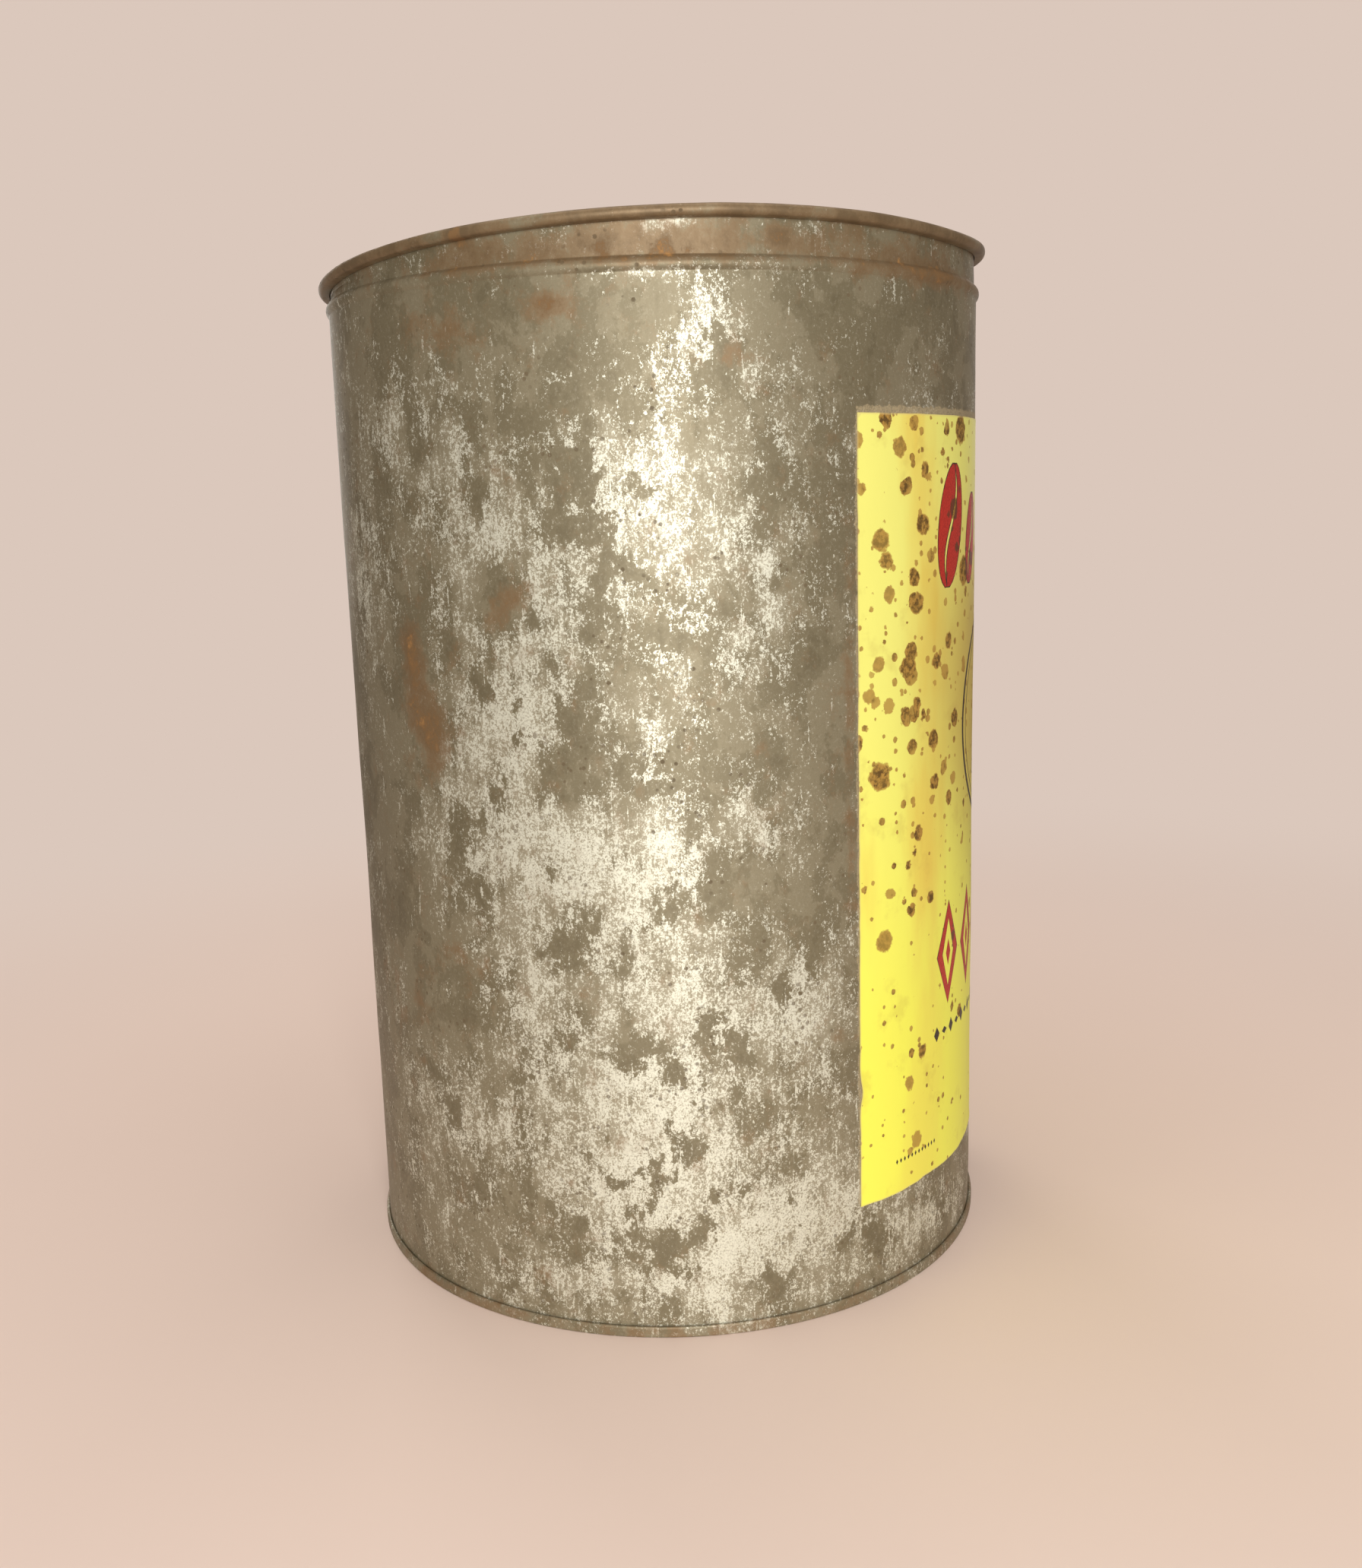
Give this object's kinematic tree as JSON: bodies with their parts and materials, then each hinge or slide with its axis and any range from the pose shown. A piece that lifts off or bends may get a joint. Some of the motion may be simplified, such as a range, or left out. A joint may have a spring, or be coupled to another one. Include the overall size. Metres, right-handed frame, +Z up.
{
  "type": "coffee tin",
  "caption": "Tall round tinplate coffee tin with a rolled rim, a beaded neck, a seamed base, a press-in lever lid and a paper label.",
  "frame": {"origin": "centre of the base, on the surface that the tin stands on", "axes": "+Z up along the tin's axis, -Y out through the middle of the paper label, +Y out through the side seam, +X to the right seen from the label side"},
  "size_m": [0.1952, 0.1952, 0.293],
  "materials": {
    "tinplate_body": "old oxidised tinplate, mottled brown and bright",
    "tinplate_base": "old oxidised tinplate, darker and rusty at the seam",
    "tinplate_rim": "tinplate browned by rust along the roll",
    "tinplate_lid": "dull tinplate with rust spots",
    "solder": "dull grey tin-lead solder",
    "sealing_compound": "dark matt sealing compound",
    "label_paper": "lemon yellow printed paper, foxed"
  },
  "bodies": {
    "tin": {"body_shell": "tinplate_body", "side_seam_solder": "solder", "bottom_end": "tinplate_base", "bottom_seam_compound": "sealing_compound", "top_ring": "tinplate_rim", "top_seam_compound": "sealing_compound", "paper_label": "label_paper"},
    "lid": {"lever_lid": "tinplate_lid"}
  },
  "joints": [
    {"name": "lid_lift", "type": "slide", "parent": "tin", "child": "lid", "axis": [0, 0, 1], "range_m": [0, 0.12]}
  ]
}
